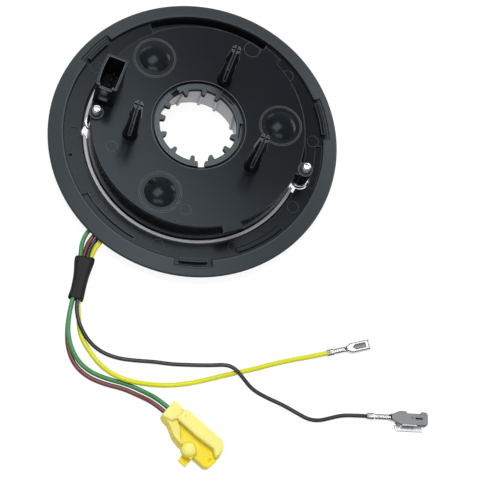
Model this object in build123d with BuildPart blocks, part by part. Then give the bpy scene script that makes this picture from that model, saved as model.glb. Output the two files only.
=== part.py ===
from build123d import *
import math
import os

# Steering clock spring, seen with its column side up. All sizes in millimetres.
# Z = 0 is the face that looks at the steering wheel, on which the part lies, and
# Z points along the steering axis towards the column. X runs from the left screw, which
# is next to the plug socket, to the right one, and the leads come out towards -Y.
os.makedirs("parts", exist_ok=True)

# Heights above the wheel side face.
foot_height = 0.6
cover_thickness = 1.4
floor_thickness = 1.4
cassette_wall_top = 5.3
rim_plane = 6.0
deck_top = 7.0
ring_crest = 8.6
collar_top = 19.0
plate_top = 19.2
screw_boss_foot = 10.1
screw_boss_top = 20.2
screw_tip = 23.6
socket_top = 36.0
peg_tip = 47.5

# Widths of the rings, from the rim inwards and from the hub outwards.
rim_radius = 56.0
rim_width = 4.2
ring_step = 1.8
deck_width = 6.6
channel_gap = 2.4
chamber_inset = 6.5
tooth_tip_radius = 12.7
tooth_length = 2.1
collar_wall = 1.4
cap_overhang = 0.7
opening_gap = 1.0
lip_gap = 0.4

# Radii from the steering axis outwards, each from the ones above.
collar_bore_radius = tooth_tip_radius + tooth_length
collar_neck_radius = collar_bore_radius + collar_wall
collar_radius = collar_neck_radius + cap_overhang
plate_lip_radius = collar_neck_radius + lip_gap
plate_opening_radius = collar_radius + opening_gap
drum_radius = rim_radius - rim_width
ring_radius = drum_radius - ring_step
channel_radius = ring_radius - deck_width
plate_radius = channel_radius - channel_gap
skirt_radius = plate_radius - 0.1
chamber_radius = plate_radius - chamber_inset

# Walls and clearances.
plate_thickness = 1.8
skirt_wall = 1.6
chamber_wall = 1.1
cassette_wall = 1.1
deck_thickness = 1.6
channel_wall = 1.2
drum_wall = 1.6
lip_thickness = 1.6
running_gap = 0.4
seat_gap = 0.2
lift_gap = 0.6

# Heights that follow from the ones above.
cover_top = foot_height + cover_thickness
floor_top = cover_top + floor_thickness
deck_bottom = deck_top - deck_thickness
plate_bottom = plate_top - plate_thickness
skirt_foot = floor_top + lift_gap

# Angles, in degrees counter-clockwise from +X.
window_span = (74, 130)
outlet_angle = 247.3


def sector(inner, outer, start, end):
    """A flat ring sector between two radii and two angles."""
    with BuildSketch(mode=Mode.PRIVATE) as shape:
        with BuildLine():
            a = CenterArc((0, 0), outer, start, end - start)
            b = CenterArc((0, 0), inner, start, end - start)
            Line(a @ 0, b @ 0)
            Line(a @ 1, b @ 1)
        make_face()
    return shape.sketch


def polar(radius, angle):
    """The point at a radius and an angle in degrees."""
    return (radius * math.cos(math.radians(angle)), radius * math.sin(math.radians(angle)))


def upright(angle, place=(0, 0)):
    """A vertical plane through a place, its X pointing out at an angle and its Y up."""
    return Plane(origin=(*place, 0), x_dir=(*polar(1, angle), 0), z_dir=(*polar(1, angle - 90), 0))


# The two captive screws hold the plate to the column. The left one is just inside the
# plate's edge and the right one outside it, on an ear. The rotor has a hole under each,
# a little round from the screw, because the rotor lies slightly past its middle.
left_screw = (-plate_radius + 3.6, -10.7)
right_screw = (plate_radius + 2.4, -1.9)
screw_places = [left_screw, right_screw]
rotor_turn = 1.2
screw_radius = 1.75
screw_shank_radius = 1.35
screw_bore_radius = screw_radius + 0.35
screw_boss_radius = 2.8
screw_head_radius = 3.2
screw_head_height = 2.2
head_gap = 0.3
access_hole_radius = 3.9


def rotor_place(place):
    """Where the rotor's hole for a screw is, at the rotor's own turn."""
    reach = math.hypot(*place)
    return polar(reach, math.degrees(math.atan2(place[1], place[0])) + rotor_turn)


access_places = [rotor_place(place) for place in screw_places]

# Base cover: the flat shell on the steering wheel side, with a raised foot round the hub,
# one at its edge and ribs between them.
cover_radius = drum_radius - drum_wall - seat_gap
sleeve_foot_radius = collar_neck_radius + 1.0
sleeve_wall = 1.0
cover_bore_radius = sleeve_foot_radius + sleeve_wall + seat_gap
foot_width = 2.4
cover_ribs = 12
rib_width = 1.2
with BuildPart() as base_cover:
    with BuildSketch(Plane.XY.offset(foot_height)):
        Circle(cover_radius)
        Circle(cover_bore_radius, mode=Mode.SUBTRACT)
    extrude(amount=cover_thickness)
    with BuildSketch(Plane.XY):
        Circle(cover_radius)
        Circle(cover_radius - foot_width, mode=Mode.SUBTRACT)
        Circle(cover_bore_radius + foot_width)
        Circle(cover_bore_radius, mode=Mode.SUBTRACT)
        with PolarLocations(0, cover_ribs, start_angle=15):
            with Locations(((cover_radius + cover_bore_radius) / 2, 0)):
                Rectangle(cover_radius - cover_bore_radius - foot_width, rib_width)
    extrude(amount=foot_height)
    with BuildSketch(Plane.XY):
        with Locations(*access_places):
            Circle(access_hole_radius)
    extrude(amount=cover_top, mode=Mode.SUBTRACT)
base_cover.part.label = "base_cover"
export_step(base_cover.part, "parts/base_cover.step")

# Rotor tray: the black drum under the flange, with an inner channel wall, the annular
# deck that carries the clip slots, and the long open window on one side.
outlet_width = 8.8
outlet_foot = cover_top
tray_inner_foot = cover_top
tongue_span = (309, 333)
tongue_height = 0.9
tongue_width = 2.0
tongue_inset = 1.0
tongue_round = 0.4
ejector_count = 10
first_ejector_angle = 20.4
ejector_radius = 2.1
ejector_ring_radius = (ring_radius + channel_radius) / 2 - 0.3
ejector_depth = 0.35
slot_outer = ring_radius - 0.3
slot_inner = slot_outer - 2.3
slot_depth = 1.0
deck_slots = [(231, 261), (-3, 18)]
clip_spans = [(21, 40), (150, 166), (281, 297)]
clip_side_gap = 2
clip_thickness = 0.8
clip_top = ring_crest + 0.5
clip_hook = 0.5
clip_notch = 2.8
pin_hole_radius = 0.9
pin_hole_angle = 212
with BuildPart() as rotor_tray:
    with BuildSketch(Plane.XY.offset(deck_bottom)):
        Circle(drum_radius)
        Circle(channel_radius, mode=Mode.SUBTRACT)
    extrude(amount=deck_thickness)
    with BuildSketch(Plane.XY.offset(tray_inner_foot)):
        Circle(channel_radius + channel_wall)
        Circle(channel_radius, mode=Mode.SUBTRACT)
    extrude(amount=deck_bottom - tray_inner_foot)
    with BuildSketch(Plane.XY):
        Circle(drum_radius)
        Circle(drum_radius - drum_wall, mode=Mode.SUBTRACT)
    extrude(amount=deck_bottom)
    with BuildSketch(Plane.XY.offset(deck_top)):
        tongue_outer = ring_radius - tongue_inset
        add(sector(tongue_outer - tongue_width, tongue_outer, *tongue_span))
    extrude(amount=tongue_height)
    fillet(rotor_tray.faces().sort_by(Axis.Z)[-1].edges(), tongue_round)
    for start, end in clip_spans:
        clip_inner = ring_radius + seat_gap
        clip_ends = (start + clip_side_gap, end - clip_side_gap)
        with BuildSketch(Plane.XY.offset(deck_top)):
            add(sector(clip_inner, clip_inner + clip_thickness, *clip_ends))
        extrude(amount=clip_top - deck_top)
        with BuildSketch(Plane.XY.offset(clip_top - clip_hook)):
            add(sector(ring_radius - clip_hook, clip_inner + clip_thickness, *clip_ends))
        extrude(amount=clip_hook)
    with BuildSketch(Plane.XY.offset(tray_inner_foot)):
        add(sector(channel_radius - 1, drum_radius - drum_wall, *window_span))
    extrude(amount=deck_top - tray_inner_foot, mode=Mode.SUBTRACT)
    with BuildSketch(Plane.XY.offset(deck_top - slot_depth)):
        for span in deck_slots:
            add(sector(slot_inner, slot_outer, *span))
        with Locations(polar(slot_inner + pin_hole_radius, pin_hole_angle)):
            Circle(pin_hole_radius)
    extrude(amount=slot_depth, mode=Mode.SUBTRACT)
    with BuildSketch(Plane.XY.offset(deck_top - ejector_depth)):
        for mark in range(ejector_count):
            mark_angle = first_ejector_angle + mark * 360 / ejector_count
            if not window_span[0] < mark_angle < window_span[1]:
                with Locations(polar(ejector_ring_radius, mark_angle)):
                    Circle(ejector_radius)
    extrude(amount=ejector_depth, mode=Mode.SUBTRACT)
    with BuildSketch(Plane.XY):
        with Locations(access_places[1]):
            Circle(access_hole_radius)
    extrude(amount=deck_top, mode=Mode.SUBTRACT)
    with BuildSketch(Plane.XY.offset(outlet_foot)):
        with Locations(Location((*polar(drum_radius, outlet_angle), 0), (0, 0, outlet_angle))):
            Rectangle(2 * drum_wall + 1, outlet_width)
    extrude(amount=deck_bottom - outlet_foot, mode=Mode.SUBTRACT)
rotor_tray.part.label = "rotor_tray"
export_step(rotor_tray.part, "parts/rotor_tray.step")

# Flange ring: the wide sloping rim that snaps over the drum. Its inner edge is notched
# where the tray's clips come up.
rim_inset = 0.5
crest_width = 0.8
crest_round = 0.25
with BuildPart() as flange_ring:
    with BuildSketch(Plane.XZ):
        with BuildLine():
            edge_top = (rim_radius - rim_inset, rim_plane + lip_thickness / 2)
            edge_low = (rim_radius - rim_inset, rim_plane - lip_thickness / 2)
            Polyline(
                edge_low,
                (drum_radius + seat_gap, rim_plane - lip_thickness / 2),
                (drum_radius + seat_gap, deck_top),
                (ring_radius, deck_top),
                (ring_radius, ring_crest - crest_round),
                (ring_radius + crest_round, ring_crest),
                (ring_radius + crest_width, ring_crest),
                edge_top,
            )
            ThreePointArc(edge_top, (rim_radius, rim_plane), edge_low)
        make_face()
    revolve(axis=Axis.Z)
    for start, end in clip_spans:
        with BuildSketch(Plane.XY.offset(deck_top)):
            add(sector(ring_radius - 1, ring_radius + clip_notch, start, end))
        extrude(amount=ring_crest - deck_top, mode=Mode.SUBTRACT)
flange_ring.part.label = "flange_ring"
export_step(flange_ring.part, "parts/flange_ring.step")

# Hub cassette: the light grey rotor core, one moulding of a low outer wall, a floor and
# a slightly tapered sleeve whose bore has drive ribs.
sleeve_top = 16.4
sleeve_top_radius = collar_bore_radius + 0.6
sleeve_foot = 0.1
rib_depth = 0.8
rib_thickness = 1.1
slot_foot = sleeve_top - 3.8
split_slots = [(293.5, 2.8), (145, 3.0)]
tooth_angles = (3, 77.8, 100.3, 129.1, 166.1, 189.6, 217.5, 248.1, 279.8, 309.4, 338.6)
rib_angles = tooth_angles + (44,)
cassette_radius = skirt_radius + running_gap + cassette_wall
with BuildPart() as hub_cassette:
    with BuildSketch(Plane.XZ):
        with BuildLine():
            Polyline(
                (sleeve_foot_radius, sleeve_foot),
                (sleeve_foot_radius + sleeve_wall, sleeve_foot),
                (sleeve_foot_radius + sleeve_wall, cover_top),
                (cassette_radius, cover_top),
                (cassette_radius, cassette_wall_top),
                (cassette_radius - cassette_wall, cassette_wall_top),
                (cassette_radius - cassette_wall, floor_top),
                (sleeve_foot_radius + sleeve_wall, floor_top),
                (sleeve_top_radius + sleeve_wall, sleeve_top),
                (sleeve_top_radius, sleeve_top),
                close=True,
            )
        make_face()
    revolve(axis=Axis.Z)
    for angle in rib_angles:
        with BuildSketch(upright(angle)):
            Polygon(
                (sleeve_foot_radius - rib_depth, sleeve_foot),
                (sleeve_foot_radius + sleeve_wall / 2, sleeve_foot),
                (sleeve_top_radius + sleeve_wall / 2, sleeve_top),
                (sleeve_top_radius - rib_depth, sleeve_top),
                align=None,
            )
        extrude(amount=rib_thickness / 2, both=True)
    for angle, width in split_slots:
        with BuildSketch(Plane.XY.offset(slot_foot)):
            with Locations(Location((*polar(sleeve_top_radius, angle), 0), (0, 0, angle))):
                Rectangle(4 * sleeve_wall, width)
        extrude(amount=sleeve_top - slot_foot, mode=Mode.SUBTRACT)
    with BuildSketch(Plane.XY.offset(cover_top)):
        with Locations(*access_places):
            Circle(access_hole_radius)
    extrude(amount=cassette_wall_top - cover_top, mode=Mode.SUBTRACT)
hub_cassette.part.label = "hub_cassette"
export_step(hub_cassette.part, "parts/hub_cassette.step")

# Hub collar: the black toothed ring on the sleeve's end. Its cap lies over the plate's
# lip and keeps the column side plate on, and its teeth drive the steering wheel's hub.
cap_thickness = 1.0
tooth_root_half = 1.15
tooth_tip_half = 0.8
notch_foot = sleeve_top + 0.4
notch_width = 6.2
notch_wall = 0.6
notch_angles = (13.5, 65.0)
with BuildPart() as hub_collar:
    with BuildSketch(Plane.XY.offset(sleeve_top)):
        Circle(collar_neck_radius)
        Circle(collar_bore_radius, mode=Mode.SUBTRACT)
    extrude(amount=collar_top - sleeve_top)
    with BuildSketch(Plane.XY.offset(collar_top - cap_thickness)):
        Circle(collar_radius)
        Circle(collar_bore_radius, mode=Mode.SUBTRACT)
    extrude(amount=cap_thickness)
    for angle, width in split_slots[1:]:
        with BuildSketch(Plane.XY.offset(notch_foot)):
            with Locations(Location((*polar(collar_neck_radius, angle), 0), (0, 0, angle))):
                Rectangle(2 * (collar_radius - collar_bore_radius), width)
        extrude(amount=collar_top - notch_foot, mode=Mode.SUBTRACT)
    for angle, width in split_slots[:1]:
        with BuildSketch(Plane.XY.offset(sleeve_top)):
            with Locations(Location((*polar(collar_neck_radius, angle), 0), (0, 0, angle))):
                Rectangle(2 * (collar_radius - collar_bore_radius), width)
        extrude(amount=collar_top - sleeve_top, mode=Mode.SUBTRACT)
    for angle in notch_angles:
        with BuildSketch(Plane.XY.offset(notch_foot)):
            with Locations(Location((*polar(collar_bore_radius + notch_wall, angle), 0), (0, 0, angle))):
                Rectangle(2 * collar_wall + cap_overhang, notch_width, align=(Align.MIN, Align.CENTER))
        extrude(amount=collar_top - notch_foot, mode=Mode.SUBTRACT)
    for angle in tooth_angles:
        with BuildSketch(Plane.XY.offset(sleeve_top).rotated((0, 0, angle))):
            with BuildLine():
                root = (collar_bore_radius + 0.5, tooth_root_half)
                tip = (tooth_tip_radius + tooth_tip_half, tooth_tip_half)
                Polyline((tip[0], -tip[1]), (root[0], -root[1]), root, tip)
                ThreePointArc(tip, (tooth_tip_radius, 0), (tip[0], -tip[1]))
            make_face()
        extrude(amount=collar_top - sleeve_top)
hub_collar.part.label = "hub_collar"
export_step(hub_collar.part, "parts/hub_collar.step")

# Glide ring: the thin felt ring on the floor that carries the chamber wall.
glide_height = lift_gap - 0.1
with BuildPart() as glide_ring:
    with BuildSketch(Plane.XY.offset(floor_top)):
        Circle(chamber_radius + chamber_wall + 0.6)
        Circle(chamber_radius - 0.6, mode=Mode.SUBTRACT)
    extrude(amount=glide_height)
    with BuildSketch(Plane.XY.offset(floor_top)):
        with Locations(*access_places):
            Circle(access_hole_radius + seat_gap)
    extrude(amount=glide_height, mode=Mode.SUBTRACT)
glide_ring.part.label = "glide_ring"
export_step(glide_ring.part, "parts/glide_ring.step")

# Stator housing: the black moulding on the column side. One piece: plate with domes and
# split pegs, skirt, ribbon chamber wall, screw bosses and the shroud of the plug socket.
chamber_foot = floor_top + lift_gap + 0.2
lip_thickness_axial = 0.8
lip_wall = 1.6
lip_foot = collar_top - cap_thickness - head_gap - lip_thickness_axial
edge_round = 0.4
dome_ring_place = plate_radius - 9.6
dome_places = [polar(dome_ring_place, angle) for angle in (22, 142, 262)]
dome_radius = 5.9
dome_height = 1.9
dome_ball = (dome_radius**2 + dome_height**2) / (2 * dome_height)
dome_angle = math.degrees(math.asin(dome_radius / dome_ball))
dome_ring_radius = 8.0
dome_ring_width = 0.35
dome_ring_depth = 0.2
peg_places = [(3.0, 20.9), (-22.6, -13.9), (24.0, -8.3)]
peg_foot_radius = 2.9
peg_neck_radius = 2.0
peg_head_radius = 2.5
peg_tip_radius = 1.7
peg_head_length = 9.5
peg_slit = 0.8
peg_slit_foot = plate_top + 5.0
plate_tabs = [(301.6, 312.2, plate_radius + 2.6), (61.5, 72.0, plate_radius + 2.0)]
socket_right = -plate_radius + 8.6
socket_near = -7.0
socket_far = 6.3
socket_wall = 0.9
socket_floor = plate_top + 0.4
socket_corner = 0.7
socket_edge = 0.2
notch_depth = 2.2
notch_width = 4.8
latch_width = 3.0
latch_height = 3.0
latch_drop = 9.0
ear_width = 5.0
marks = [((8.8, 37.6), 3.0), ((-27.2, -21.0), 1.9), ((6.8, -33.9), 1.9)]
mark_depth = 0.15


def socket_outline(inset):
    """The shroud's plan: three straight sides and one that follows the plate's edge."""
    outer = plate_radius - inset
    right = socket_right - inset
    near = socket_near + inset
    far = socket_far - inset
    with BuildSketch(mode=Mode.PRIVATE) as shape:
        with BuildLine():
            far_left = (-math.sqrt(outer**2 - far**2), far)
            near_left = (-math.sqrt(outer**2 - near**2), near)
            ThreePointArc(far_left, (-outer, 0), near_left)
            Polyline(near_left, (right, near), (right, far), far_left)
        make_face()
        fillet(shape.vertices(), socket_corner - inset / 2)
    return shape.sketch


with BuildPart() as stator_housing:
    with BuildSketch(Plane.XY.offset(plate_bottom)):
        Circle(plate_radius)
        for start, end, reach in plate_tabs:
            add(sector(plate_radius - 1, reach, start, end))
    extrude(amount=plate_thickness)
    fillet(stator_housing.faces().sort_by(Axis.Z)[-1].edges(), edge_round)
    with BuildSketch(Plane.XY.offset(skirt_foot)):
        Circle(skirt_radius)
        Circle(skirt_radius - skirt_wall, mode=Mode.SUBTRACT)
    extrude(amount=plate_bottom - skirt_foot)
    with BuildSketch(Plane.XY.offset(chamber_foot)):
        Circle(chamber_radius + chamber_wall)
        Circle(chamber_radius, mode=Mode.SUBTRACT)
    extrude(amount=plate_bottom - chamber_foot)
    with BuildSketch(Plane.XY.offset(lip_foot)):
        Circle(plate_opening_radius + lip_wall)
    extrude(amount=plate_bottom - lip_foot)
    with BuildSketch(Plane.XY.offset(skirt_foot)):
        with Locations(*screw_places):
            Circle(screw_head_radius + running_gap)
    extrude(amount=screw_boss_foot - skirt_foot, mode=Mode.SUBTRACT)
    with BuildSketch(Plane.XY.offset(screw_boss_foot)):
        with Locations(right_screw):
            Rectangle(right_screw[0] - plate_radius + 1, ear_width, align=(Align.MAX, Align.CENTER))
    extrude(amount=plate_top - screw_boss_foot)
    with BuildSketch(Plane.XY.offset(screw_boss_foot)):
        with Locations(*screw_places):
            Circle(screw_boss_radius)
    extrude(amount=screw_boss_top - screw_boss_foot)
    with BuildSketch(Plane.XY.offset(plate_bottom)):
        add(socket_outline(0))
    extrude(amount=socket_top - plate_bottom)
    fillet(stator_housing.faces().sort_by(Axis.Z)[-1].edges(), socket_edge)
    with BuildSketch(Plane.XY.offset(socket_floor)):
        add(socket_outline(socket_wall))
    extrude(amount=socket_top - socket_floor, mode=Mode.SUBTRACT)
    with BuildSketch(Plane.XZ.offset(-socket_near)):
        with Locations(((socket_right - plate_radius) / 2, 0)):
            with Locations((0, socket_top)):
                Rectangle(notch_width, 2 * notch_depth)
            with Locations((0, socket_top - latch_drop - latch_height / 2)):
                Rectangle(latch_width, latch_height)
    extrude(amount=-socket_wall, mode=Mode.SUBTRACT)
    for place in dome_places:
        with BuildSketch(upright(0, place)):
            with BuildLine():
                cap = CenterArc((0, plate_top + dome_height - dome_ball), dome_ball, 90 - dome_angle, dome_angle)
                Polyline(cap @ 1, (0, plate_bottom), (dome_radius, plate_bottom), cap @ 0)
            make_face()
        revolve(axis=Axis((*place, 0), (0, 0, 1)))
    with BuildSketch(Plane.XY.offset(plate_top - dome_ring_depth)):
        with Locations(*dome_places):
            Circle(dome_ring_radius)
            Circle(dome_ring_radius - dome_ring_width, mode=Mode.SUBTRACT)
    extrude(amount=dome_ring_depth, mode=Mode.SUBTRACT)
    with BuildSketch(Plane.XY.offset(plate_top - mark_depth)):
        for place, radius in marks:
            with Locations(place):
                Circle(radius)
    extrude(amount=mark_depth, mode=Mode.SUBTRACT)
    for place in peg_places:
        with BuildSketch(upright(0, place)):
            Polygon(
                (0, plate_bottom),
                (peg_foot_radius, plate_bottom),
                (peg_foot_radius, plate_top),
                (peg_neck_radius, peg_tip - peg_head_length),
                (peg_head_radius, peg_tip - peg_head_length + 0.6),
                (peg_tip_radius, peg_tip),
                (0, peg_tip),
                align=None,
            )
        revolve(axis=Axis((*place, 0), (0, 0, 1)))
        with BuildSketch(Plane.XY.offset(peg_slit_foot)):
            with Locations(place):
                Rectangle(peg_slit, 3 * peg_foot_radius)
                Rectangle(3 * peg_foot_radius, peg_slit)
        extrude(amount=peg_tip - peg_slit_foot, mode=Mode.SUBTRACT)
    with BuildSketch(Plane.XY.offset(lip_foot)):
        Circle(plate_lip_radius)
    extrude(amount=plate_top - lip_foot, mode=Mode.SUBTRACT)
    with BuildSketch(Plane.XY.offset(lip_foot + lip_thickness_axial)):
        Circle(plate_opening_radius)
    extrude(amount=plate_top - lip_foot, mode=Mode.SUBTRACT)
    with BuildSketch(Plane.XY.offset(screw_boss_foot)):
        with Locations(*screw_places):
            Circle(screw_bore_radius)
    extrude(amount=screw_boss_top - screw_boss_foot, mode=Mode.SUBTRACT)
stator_housing.part.label = "stator_housing"
export_step(stator_housing.part, "parts/stator_housing.step")

# Socket pin block: the insert at the foot of the plug socket, with four contact blades.
block_height = 2.4
pin_count = 4
pin_pitch = 2.5
pin_width = 1.2
pin_thickness = 0.6
block_gap = 0.15
pin_top = socket_top - 9.0
socket_middle = (socket_right - 3.9, (socket_near + socket_far) / 2)
with BuildPart() as socket_pin_block:
    with BuildSketch(Plane.XY.offset(socket_floor)):
        add(socket_outline(socket_wall + block_gap))
        with Locations(socket_middle):
            with GridLocations(1, pin_pitch, 1, pin_count):
                Rectangle(pin_thickness, pin_width, mode=Mode.SUBTRACT)
    extrude(amount=block_height)
socket_pin_block.part.label = "socket_pin_block"
export_step(socket_pin_block.part, "parts/socket_pin_block.step")

with BuildPart() as socket_pins:
    with BuildSketch(Plane.XY.offset(socket_floor)):
        with Locations(socket_middle):
            with GridLocations(1, pin_pitch, 1, pin_count):
                Rectangle(pin_thickness, pin_width)
    extrude(amount=pin_top - socket_floor)
socket_pins.part.label = "socket_pins"
export_step(socket_pins.part, "parts/socket_pins.step")

# Captive screws: each has a pan head under its boss, a thin shank through it and a thread
# that stands out above it, too wide to drop back through the retainer.
socket_drive_radius = 1.4
socket_drive_depth = 1.4
screw_chamfer = 0.6
head_round = 0.7
for name, place in (("screw_left", screw_places[0]), ("screw_right", screw_places[1])):
    with BuildPart() as screw:
        with BuildSketch(Plane.XY.offset(screw_boss_foot - head_gap - screw_head_height)):
            with Locations(place):
                Circle(screw_head_radius)
        extrude(amount=screw_head_height)
        with BuildSketch(Plane.XY.offset(screw_boss_foot - head_gap)):
            with Locations(place):
                Circle(screw_shank_radius)
        extrude(amount=screw_tip - screw_boss_foot + head_gap)
        with BuildSketch(Plane.XY.offset(screw_boss_top + head_gap)):
            with Locations(place):
                Circle(screw_radius)
        extrude(amount=screw_tip - screw_boss_top - head_gap)
        chamfer(screw.edges().sort_by(Axis.Z)[-1], screw_chamfer)
        fillet(screw.faces().sort_by(Axis.Z)[0].edges(), head_round)
        with BuildSketch(Plane.XY.offset(screw_boss_foot - head_gap - screw_head_height)):
            with Locations(place):
                RegularPolygon(socket_drive_radius, 6)
        extrude(amount=socket_drive_depth, mode=Mode.SUBTRACT)
    screw.part.label = name
    export_step(screw.part, f"parts/{name}.step")

# Screw retainers: a ring pressed into the top of each boss, which keeps the screw on.
retainer_height = 1.2
shank_clearance = 0.08
with BuildPart() as screw_retainers:
    with BuildSketch(Plane.XY.offset(screw_boss_top - retainer_height)):
        with Locations(*screw_places):
            Circle(screw_bore_radius)
            Circle(screw_shank_radius + shank_clearance, mode=Mode.SUBTRACT)
    extrude(amount=retainer_height)
screw_retainers.part.label = "screw_retainers"
export_step(screw_retainers.part, "parts/screw_retainers.step")

# Ribbon cable: the flat spring of the clock spring. Its coil is drawn with half circles
# about two centres, so each turn lies one pitch outside the one before.
ribbon_inner_radius = sleeve_foot_radius + 2.6
ribbon_end_gap = 1.5
ribbon_turns = 6
ribbon_pitch = (chamber_radius - ribbon_end_gap - ribbon_inner_radius) / ribbon_turns
ribbon_thickness = 0.25
ribbon_foot = 4.4
ribbon_height = 11.0


def half_turn_coil(radius, side):
    """The coil's line, moved out by side, as a list of half circles."""
    arcs = []
    for half in range(2 * ribbon_turns):
        centre = (0 if half % 2 == 0 else ribbon_pitch / 2, 0)
        reach = radius + half * ribbon_pitch / 2 + side
        arcs.append(CenterArc(centre, reach, 180 * (half % 2), 180))
    return arcs


with BuildPart() as ribbon_cable:
    with BuildSketch(Plane.XY.offset(ribbon_foot)):
        with BuildLine():
            inside = half_turn_coil(ribbon_inner_radius, -ribbon_thickness / 2)
            outside = half_turn_coil(ribbon_inner_radius, ribbon_thickness / 2)
            Line(inside[0] @ 0, outside[0] @ 0)
            Line(inside[-1] @ 1, outside[-1] @ 1)
        make_face()
    extrude(amount=ribbon_height)
ribbon_cable.part.label = "ribbon_cable"
export_step(ribbon_cable.part, "parts/ribbon_cable.step")

# Ribbon end blocks: the inner one sits on the sleeve, the outer one on the chamber wall.
inner_block_span = 18
outer_block_span = 12
block_depth = 3 / 11 * ribbon_pitch
inner_block_radius = ribbon_inner_radius + block_depth
ribbon_end_radius = ribbon_inner_radius + ribbon_turns * ribbon_pitch


def sleeve_outside(height):
    """The sleeve's outer radius at a height above its floor."""
    drop = (sleeve_foot_radius - sleeve_top_radius) * (height - floor_top) / (sleeve_top - floor_top)
    return sleeve_foot_radius + sleeve_wall - drop


with BuildPart() as ribbon_inner_block:
    with BuildSketch(upright(-inner_block_span)):
        Polygon(
            (sleeve_outside(ribbon_foot), ribbon_foot),
            (inner_block_radius, ribbon_foot),
            (inner_block_radius, ribbon_foot + ribbon_height),
            (sleeve_outside(ribbon_foot + ribbon_height), ribbon_foot + ribbon_height),
            align=None,
        )
    revolve(axis=Axis.Z, revolution_arc=inner_block_span)
ribbon_inner_block.part.label = "ribbon_inner_block"
export_step(ribbon_inner_block.part, "parts/ribbon_inner_block.step")

with BuildPart() as ribbon_outer_block:
    with BuildSketch(Plane.XY.offset(ribbon_foot)):
        add(sector(ribbon_end_radius - block_depth, chamber_radius, 0, outer_block_span))
    extrude(amount=ribbon_height)
ribbon_outer_block.part.label = "ribbon_outer_block"
export_step(ribbon_outer_block.part, "parts/ribbon_outer_block.step")

# Wire grommet: the rubber block in the drum wall that the four wires come out of.
grommet_height = 3.0
grommet_margin = 0.4
grommet_out = 1.1
grommet_collar = 0.9
grommet_corner = 0.8
wire_exit_height = (outlet_foot + deck_bottom) / 2
outlet_plane = Plane(
    origin=(*polar(drum_radius + grommet_out, outlet_angle), wire_exit_height),
    x_dir=(*polar(1, outlet_angle + 90), 0),
    z_dir=(*polar(1, outlet_angle), 0),
)
with BuildPart() as wire_grommet:
    with BuildSketch(outlet_plane):
        RectangleRounded(outlet_width + 2 * grommet_margin, grommet_height, grommet_corner)
    extrude(amount=-grommet_collar)
    with BuildSketch(outlet_plane):
        RectangleRounded(outlet_width - grommet_margin, grommet_height, grommet_corner)
    extrude(amount=-grommet_out - drum_wall - grommet_collar)
wire_grommet.part.label = "wire_grommet"
export_step(wire_grommet.part, "parts/wire_grommet.step")

# Shrink sleeve: the thin tube that gathers the four wires, flared at its upper mouth.
# Its middle line and the wires inside it bend a little towards the plug.
sleeve_height = 4.7
tube_wall = 0.45
tube_corner = 1.9
sleeve_stations = [(-21.45, -59.5, -80, 7.3), (-19.9, -68.2, -82.5, 5.3), (-19.2, -76.3, -85, 6.0)]
sleeve_planes = [
    Plane(
        origin=(x, y, 0),
        x_dir=(*polar(1, angle + 90), 0),
        z_dir=(*polar(1, angle), 0),
    )
    for x, y, angle, width in sleeve_stations
]
with BuildPart() as shrink_sleeve:
    for plane, station in zip(sleeve_planes, sleeve_stations):
        with BuildSketch(plane):
            with Locations((0, sleeve_height / 2)):
                RectangleRounded(station[3], sleeve_height, tube_corner)
    loft()
    for plane, station in zip(sleeve_planes, sleeve_stations):
        with BuildSketch(plane):
            with Locations((0, sleeve_height / 2)):
                RectangleRounded(
                    station[3] - 2 * tube_wall, sleeve_height - 2 * tube_wall, tube_corner - tube_wall
                )
    loft(mode=Mode.SUBTRACT)
shrink_sleeve.part.label = "shrink_sleeve"
export_step(shrink_sleeve.part, "parts/shrink_sleeve.step")


def through_sleeve(*sides_and_levels):
    """A wire's points at the sleeve's three stations, from its side step and height there."""
    return [
        tuple(plane.from_local_coords((side, level, 0)))
        for plane, (side, level) in zip(sleeve_planes, sides_and_levels)
    ]


# Plug and terminals: each has a frame at its wire end, with X along the piece.
plug_plane = Plane(origin=(26.6, -103.2, 0), x_dir=(*polar(1, -21.1), 0), z_dir=(0, 0, 1))
small_plane = Plane(origin=(75.2, -60.1, 0), x_dir=(*polar(1, 34), 0), z_dir=(0, 0, 1))
large_plane = Plane(origin=(96.4, -77.2, 0), x_dir=(*polar(1, 18), 0), z_dir=(0, 0, 1))
plug_start = -0.4
plug_wire_middle = 0.2
plug_wire_pitch = 2.1
plug_wire_height = 3.7
plug_recess = 2.0
barrel_depth = 2.6
barrel_height = 1.3


def into(plane, straight, depth, side, height):
    """The last two points of a wire that runs straight into a piece."""
    return [
        tuple(plane.from_local_coords((-straight, side, height))),
        tuple(plane.from_local_coords((depth, side, height))),
    ]


# Wires: each route is a list of points chosen by hand along the wire as it lies. The
# green and the black one run on top of the brown and the yellow one in the sleeve.
wire_pitch = 2.0
first_run = 3.4
green_diameter = 1.7
brown_diameter = 1.7
black_diameter = 1.5
yellow_diameter = 1.8


def outlet_points(place):
    """The first two points of a wire: on the grommet's face and straight out of it."""
    start = outlet_plane.from_local_coords((place * wire_pitch, 0, 0))
    run = outlet_plane.from_local_coords((place * wire_pitch, 0, first_run))
    return [tuple(start), tuple(run)]


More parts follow.
